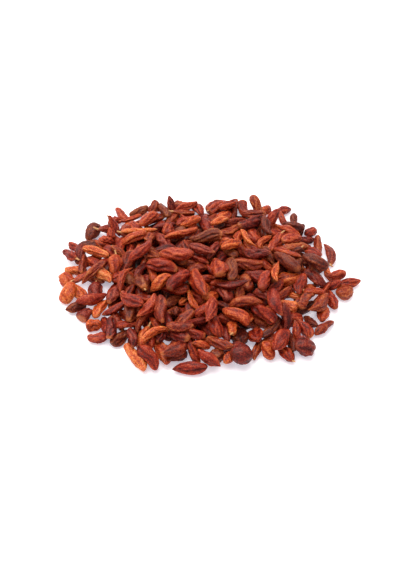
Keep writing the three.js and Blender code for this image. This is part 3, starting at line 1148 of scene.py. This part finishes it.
@dataclass
class Skins:
    """The berries' wrinkled skins, worked out for many berries at once.

    At t along a berry, from -1 to 1, and an angle round it, the skin is at the berry's half width and half
    thickness times its girth, (1 - t^2)^taper (1 + skew t), times the fold factor. The girth also narrows
    in waves and to a neck at one end, and the middle line is bent.
    """

    seed: int = 9
    fine: Grid = Grid(38, 30)
    middling: Grid = Grid(24, 20)
    coarse: Grid = Grid(12, 12)
    fine_shown: float = 0.4
    coarse_shown: float = 0.05
    waist: float = 0.12
    waist_waves: tuple[float, float] = (2, 5)
    neck: float = 0.3
    neck_start: float = 0.3
    blunt: float = 0.16
    fullness: tuple[float, float] = (0.5, 1.2)
    bend: float = 0.08
    bend_aside: float = 0.5
    girth_share: float = 2.6
    apart_mm: float = 400.0
    # the fold depth about each place, which gives painted shade in folds and a painted highlight on ridges
    fold_reach: float = 0.11
    fold_rings: int = 2
    shade_and_highlight_gain: float = 11.0
    # pale ends: partly their real colour, partly painted glow of light through them
    pale: float = 0.8
    pale_start: float = 0.75
    pale_power: int = 3
    shades: tuple[float, float] = (0.3, 0.7)
    draws: np.random.Generator = field(init=False)

    def __post_init__(self) -> None:
        """Starts the seeded draws."""
        self.draws = np.random.default_rng(self.seed)

    def even(self, count: int, low: float, high: float) -> np.ndarray:
        """One even draw for each berry, shaped to spread over rings and sides."""
        return self.draws.uniform(low, high, (count, 1, 1))

    def depth(self, factor: np.ndarray) -> np.ndarray:
        """How far each place lies below the mean of those about it, above 0 in a fold.

        Args:
            factor: the fold factor.

        Returns:
            The depth for berries by rings by sides.
        """
        sides = factor.shape[2]
        reach = max(1, round(sides * self.fold_reach))
        round_mean = sum(np.roll(factor, k, axis=2) for k in range(-reach, reach + 1)) / (2 * reach + 1)
        near = self.fold_rings
        padded = np.pad(round_mean, ((0, 0), (near, near), (0, 0)), mode="edge")
        rings = 2 * near + 1
        return sum(padded[:, k : k + factor.shape[1]] for k in range(rings)) / rings - factor

    def girth(self, each: dict[str, np.ndarray], t: np.ndarray) -> np.ndarray:
        """The berries' girth, with fuller and blunter ends, a waist in waves and a neck at one end.

        Args:
            each: the berries' numbers, by name.
            t: the places along.

        Returns:
            The girth for berries by rings, as a share of the middle's.
        """
        count = len(each["taper"])
        blunter = np.sign(each["skew"]) * self.blunt
        power = each["taper"] * self.even(count, *self.fullness) * (1 - blunter * t)
        girth = np.maximum(1 - t * t, 0.0) ** power * (1 + each["skew"] * t)
        wave = self.even(count, *self.waist_waves) * t + self.even(count, 0, 2 * math.pi)
        girth = girth * (1 + self.waist * self.even(count, -1, 1) * np.sin(wave))
        necked = np.sign(self.even(count, -1, 1)) * t
        return girth * (1 - self.neck * self.even(count, 0, 1) * smooth(self.neck_start, 1.0, necked))

    def surface(self, berries: list[Berry], grid: Grid) -> Surface:
        """The skins of berries on one grid.

        Args:
            berries: the berries.
            grid: the grid.

        Returns:
            Their surface.
        """
        count = len(berries)
        factor = Folds(berries, grid, self.draws).factor()
        names = ("length", "width", "thickness", "taper", "skew", "bow")
        each = dict(zip(names, columns(berries, *names)[:, :, None, None]))
        middle = columns(berries, "pose.x", "pose.y", "z").T
        heading, pitch, roll = columns(berries, "pose.heading", "pose.pitch", "pose.roll")
        axis, sideways = headed(heading, pitch)
        across = sideways * np.cos(roll)[:, None] + np.array([0, 0, 1.0]) * np.sin(roll)[:, None]
        up = np.cross(axis, across)
        up = up / np.linalg.norm(up, axis=1, keepdims=True)
        t = np.concatenate([grid.along, [-1.0, 1.0]])[None, :, None]
        angle = grid.around[None, None, :]
        full = self.girth(each, t) * np.concatenate([factor, np.ones((count, 2, grid.sides))], axis=1)
        arch = 1 / 3 - t * t
        rise = self.even(count, -1, 1) * self.bend * each["length"] * arch
        sway = self.even(count, -1, 1) * self.bend_aside * self.bend * each["length"] * np.sin(math.pi * t)
        parts = (
            (axis, each["length"] / 2 * t),
            (across, each["width"] / 2 * full * np.cos(angle) + sway),
            (up, each["thickness"] / 2 * full * np.sin(angle) + rise),
            (sideways, each["bow"] * each["length"] * arch),
        )
        skin = middle[:, None, None] + sum(way[:, None, None] * size[..., None] for way, size in parts)
        size = np.stack([each["width"] * self.girth_share, each["length"] / 2], -1)
        moved = self.draws.uniform(0, self.apart_mm, (count, 1, 1, 2))
        return Surface.of_tubes(skin, grid, size, moved, self.marks(self.depth(factor), grid))

    def marks(self, depth: np.ndarray, grid: Grid) -> np.ndarray:
        """The skin marks: painted shade by how deep in a fold, a pale end with painted glow, how light a
        berry, and a painted highlight by how high on a ridge.

        Args:
            depth: how far each place lies below those about it.
            grid: the grid.

        Returns:
            Four numbers from 0 to 1 for every vertex of every berry.
        """
        count = len(depth)
        # above 0 in a fold, painted as shade; below 0 on a ridge, painted as a highlight
        fold = self.shade_and_highlight_gain * np.concatenate([depth.reshape(count, -1), np.zeros((count, 2))], axis=1)
        t = np.concatenate([np.repeat(grid.along, grid.sides), [-1.0, 1.0]])
        pale = self.pale * self.draws.uniform(0, 1, (count, 2)) ** self.pale_power
        pale_end_and_painted_glow = np.where(t < 0, pale[:, :1], pale[:, 1:]) * smooth(self.pale_start, 1.0, np.abs(t))
        shade = np.repeat(self.draws.uniform(*self.shades, (count, 1)), fold.shape[1], axis=1)
        return np.stack([np.clip(fold, 0, 1), pale_end_and_painted_glow, shade, np.clip(-fold, 0, 1)], axis=-1).reshape(-1, 4)

    def dressed(self, berries: list[Berry]) -> Surface:
        """The skins of berries, finer where they lie open.

        Args:
            berries: the berries.

        Returns:
            Their surface.
        """
        grids = (
            (self.fine, self.fine_shown, math.inf),
            (self.middling, self.coarse_shown, self.fine_shown),
            (self.coarse, -math.inf, self.coarse_shown),
        )
        parts = []
        for grid, low, high in grids:
            alike = [berry for berry in berries if low <= berry.shown < high]
            if alike:
                parts.append(self.surface(alike, grid))
        return Surface.joined(parts)


@dataclass
class Core:
    """The dark middle of the heap, which closes the gaps under its thick part.

    Its upper side is at a share of the lowest berry top about each place, less a gap. It is drawn as rings
    round the peak, out to where the heap is too thin to hide it and further at the back, with a flat
    underside. Its skin is painted shade, darker than any berry's, for berries that lie deep in shadow.
    """

    near: int = 3
    below: float = 1.6
    share: float = 0.8
    thinnest: float = 1.2
    within: float = 0.62
    further_back: float = 0.18
    innermost: float = 0.03
    floor: float = 0.05
    unrolled_mm: tuple[float, float] = (2 * math.pi * 40, 70.0)
    # half deep in a fold, which darkens the core's skin further as painted shade
    marks: tuple[float, float, float, float] = (0.5, 0.0, 0.4, 0.0)
    grid: Grid = Grid(22, 72)

    def lowest(self, heap: HeapMap) -> np.ndarray:
        """The lowest height about each cell of the map.

        Args:
            heap: the heap's map.

        Returns:
            The heights.
        """
        low = heap.heights.copy()
        for axis in (0, 1):
            low = np.min([np.roll(low, k, axis=axis) for k in range(-self.near, self.near + 1)], axis=0)
        return low

    def surface(self, pour: Pour) -> Surface:
        """The core's surface.

        Args:
            pour: the pouring, for its map, peak and rim.

        Returns:
            The surface.
        """
        heap, peak = pour.heap, pour.peak
        low = self.lowest(heap)
        angle = self.grid.around
        within = self.within + self.further_back * np.maximum(np.sin(angle), 0.0)
        rim = np.array([pour.rim_radius(a) for a in angle]) * within
        inwards = np.linspace(1.0, self.innermost, self.grid.rings - 1)
        out = np.concatenate([[1.0], inwards])[:, None] * rim
        x = peak[0] + out * np.cos(angle)
        y = peak[1] + out * np.sin(angle)
        row = np.round(y / heap.cell).astype(int) + heap.row_max
        column = np.round(x / heap.cell).astype(int) + heap.column_max
        z = np.maximum(low[row, column] * self.share - self.below, self.thinnest)
        z[0] = self.floor
        ends = np.array([[*peak, self.floor], [*peak, float(z[-1].mean())]])
        points = np.concatenate([np.stack([x, y, z], -1).reshape(-1, 3), ends])
        quads, triangles = self.grid.faces()
        quad_uv, triangle_uv = self.grid.corners()
        size = np.array(self.unrolled_mm)
        marks = np.tile(self.marks, (len(points), 1))
        return Surface(points, quads, triangles, quad_uv * size, triangle_uv * size, marks)


@dataclass(frozen=True)
class StalkFinish:
    """Dried stalk: pale papery fibre, drawn out lengthwise and browner in its grooves."""

    name: str = "sun_dried_goji_stalk"
    deep: str = "#A0602F"
    fair: str = "#E2B07A"
    fibre_mm: tuple[float, float] = (0.35, 1.6)
    groove_mm: float = 0.1
    detail: float = 2.0
    roughness: float = 0.7

    def material(self) -> Material:
        """Makes the stalk's finish.

        Returns:
            The material.
        """
        made = fresh_material(self.name)
        tree = made.node_tree
        inputs = {"Vector": unrolled(tree, self.fibre_mm), "Scale": 1.0, "Detail": self.detail}
        fibre = put(tree, "ShaderNodeTexNoise", inputs).outputs["Fac"]
        colour = mixed(tree, fibre, linear(self.deep), linear(self.fair))
        relief = raised(tree, fibre, self.groove_mm)
        close(tree, {"Base Color": colour, "Roughness": self.roughness, "Normal": relief})
        return made


@dataclass
class Stalks:
    """The short pale stalks that stay on some berries: bent tubes that widen where they meet the berry.

    At s along a stalk, from 0 to 1, its radius runs from wide to narrow, widens a little at the broken end,
    closes at both ends and has a few low ridges that twist. Its middle line leaves the berry's end and
    curves aside as s^2.
    """

    seed: int = 21
    every: int = 9
    shown: float = 0.5
    length: tuple[float, float] = (1.6, 3.4)
    wide: float = 0.85
    narrow: float = 0.45
    flare_end: float = 0.45
    broken_flare: float = 0.12
    broken_from: float = 0.8
    ridges: int = 3
    ridge: float = 0.15
    ridge_twist: float = 4.0
    aside: float = 0.5
    stray: float = 0.35
    upward: float = 0.25
    rooted: float = 0.8
    end_power: int = 6
    unrolled_mm: tuple[float, float] = (2.0, 1.5)
    apart_mm: float = 200.0
    marks: tuple[float, float, float, float] = (0.0, 0.0, 0.5, 0.0)
    grid: Grid = Grid(9, 8)

    def surface(self, berries: list[Berry]) -> Surface:
        """The stalks of every so many open berries.

        Args:
            berries: the berries.

        Returns:
            Their surface.
        """
        draws = np.random.default_rng(self.seed)
        open_ones = [berry for berry in berries if berry.shown > self.shown][:: self.every]
        count = len(open_ones)
        middle = columns(open_ones, "pose.x", "pose.y", "z").T
        heading, pitch, bow, long = columns(open_ones, "pose.heading", "pose.pitch", "bow", "length")
        axis, sideways = headed(heading, pitch)
        axis = axis * np.where(pitch < 0, -1.0, 1.0)[:, None]
        start = middle + axis * (long / 2 - self.rooted)[:, None]
        start = start + sideways * (bow * long * (1 / 3 - 1))[:, None]
        away = axis + self.stray * draws.uniform(-1, 1, (count, 3)) + np.array([0, 0, self.upward])
        away = away / np.linalg.norm(away, axis=1, keepdims=True)
        side = np.cross(away, np.array([0, 0, 1.0]))
        side = side / np.linalg.norm(side, axis=1, keepdims=True)
        over = np.cross(away, side)
        length = draws.uniform(*self.length, (count, 1, 1))
        t = np.concatenate([self.grid.along, [-1.0, 1.0]])[None, :, None]
        s = (t + 1) / 2
        closing = np.sqrt(np.maximum(1 - t**self.end_power, 0.0))
        flare = self.narrow + (self.wide - self.narrow) * (1 - smooth(0.0, self.flare_end, s))
        flare = flare + self.broken_flare * smooth(self.broken_from, 1, s)
        angle = self.grid.around[None, None, :]
        radius = closing * flare * (1 + self.ridge * np.cos(self.ridges * angle + self.ridge_twist * s))
        curve = self.aside * draws.uniform(-1, 1, (count, 1, 1)) * length * s**2
        parts = (
            (away, length * s),
            (side, radius * np.cos(angle) + curve),
            (over, radius * np.sin(angle)),
        )
        skin = start[:, None, None] + sum(way[:, None, None] * size[..., None] for way, size in parts)
        moved = draws.uniform(0, self.apart_mm, (count, 1, 1, 2))
        marks = np.tile(self.marks, (count * (self.grid.rings * self.grid.sides + 2), 1))
        return Surface.of_tubes(skin, self.grid, np.array(self.unrolled_mm), moved, marks)


@dataclass
class Studio:
    """A white floor, soft light from over the back left, and the camera at the photo's angle."""

    floor_half_mm: float = 3000.0
    floor_colour: str = "#F4F3F6"
    floor_glow: str = "#E3E3F4"
    floor_glow_strength: float = 0.45
    floor_roughness: float = 0.9
    floor_specular: float = 0.2
    key_light_at: tuple[float, float, float] = (-0.3, 0.45, 1.1)
    key_light_side: float = 1.4
    key_light_watts: float = 22.0
    key_light_tint: str = "#FFFAF4"
    surroundings: float = 0.83
    surroundings_tint: str = "#FFFBF3"
    camera_mm: tuple[float, float, float] = (-1.574, -436.551, 440.261)
    elevation: float = 45.0
    lens_mm: float = 74.635
    sensor_mm: float = 36.0
    clip_m: tuple[float, float] = (0.01, 50.0)

    def floor(self) -> None:
        """Lays the floor, a matt white board that shines a little, so that shadows on it stay pale."""
        half = self.floor_half_mm * MM
        mesh = bpy.data.meshes.new("floor")
        corners = [(-half, -half, 0), (half, -half, 0), (half, half, 0), (-half, half, 0)]
        mesh.from_pydata(corners, [], [(0, 1, 2, 3)])
        material = fresh_material("matt_white_board")
        close(
            material.node_tree,
            {
                "Base Color": linear(self.floor_colour),
                "Roughness": self.floor_roughness,
                "Specular IOR Level": self.floor_specular,
                "Emission Color": linear(self.floor_glow),
                "Emission Strength": self.floor_glow_strength,
            },
        )
        mesh.materials.append(material)
        board = bpy.data.objects.new("floor", mesh)
        bpy.context.collection.objects.link(board)

    def key_light(self) -> None:
        """Hangs a square soft lamp that faces the heap."""
        light = bpy.data.lights.new("key_light", "AREA")
        light.shape = "SQUARE"
        light.size = self.key_light_side
        light.energy = self.key_light_watts
        light.color = linear(self.key_light_tint)[:3]
        x, y, z = self.key_light_at
        made = bpy.data.objects.new("key_light", light)
        made.location = self.key_light_at
        made.rotation_euler = (math.atan2(math.hypot(x, y), z), 0.0, math.atan2(y, x) + math.pi / 2)
        bpy.context.collection.objects.link(made)

    def world(self) -> None:
        """Fills the surroundings with even light."""
        world = bpy.data.worlds.new("soft_surroundings")
        world.use_nodes = True
        world.node_tree.nodes.clear()
        inputs = {"Color": linear(self.surroundings_tint), "Strength": self.surroundings}
        sky = put(world.node_tree, "ShaderNodeBackground", inputs)
        put(world.node_tree, "ShaderNodeOutputWorld", {"Surface": sky.outputs["Background"]})
        bpy.context.scene.world = world

    def camera(self) -> None:
        """Sets the camera up."""
        data = bpy.data.cameras.new("camera")
        data.lens = self.lens_mm
        data.sensor_width = self.sensor_mm
        data.sensor_fit = "AUTO"
        data.clip_start, data.clip_end = self.clip_m
        made = bpy.data.objects.new("camera", data)
        made.location = tuple(part * MM for part in self.camera_mm)
        made.rotation_euler = (math.radians(90 - self.elevation), 0.0, 0.0)
        bpy.context.collection.objects.link(made)
        bpy.context.scene.camera = made

    def build(self) -> None:
        """Builds the studio."""
        self.floor()
        self.key_light()
        self.world()
        self.camera()
        view = bpy.context.scene.view_settings
        view.view_transform = "Standard"
        view.look = "None"
        view.exposure = 0.0
        view.gamma = 1.0


def main() -> None:
    """Builds the studio and the heap."""
    logging.basicConfig(level=logging.INFO, format="%(message)s")
    Studio().build()
    pour = Pour(HeapMap())
    berries = pour.run()
    LOG.info("%d berries poured, %.1f mm high", len(berries), pour.heap.heights.max())
    skins = Skins()
    for tone, finish in SKINS.items():
        alike = [berry for berry in berries if berry.tone is tone]
        skins.dressed(alike).piece(f"{tone.value}_berries", finish.material())
    Core().surface(pour).piece("heap_core", SHADED_CORE_SKIN.material())
    Stalks().surface(berries).piece("stalks", StalkFinish().material())


if __name__ == "__main__":
    main()
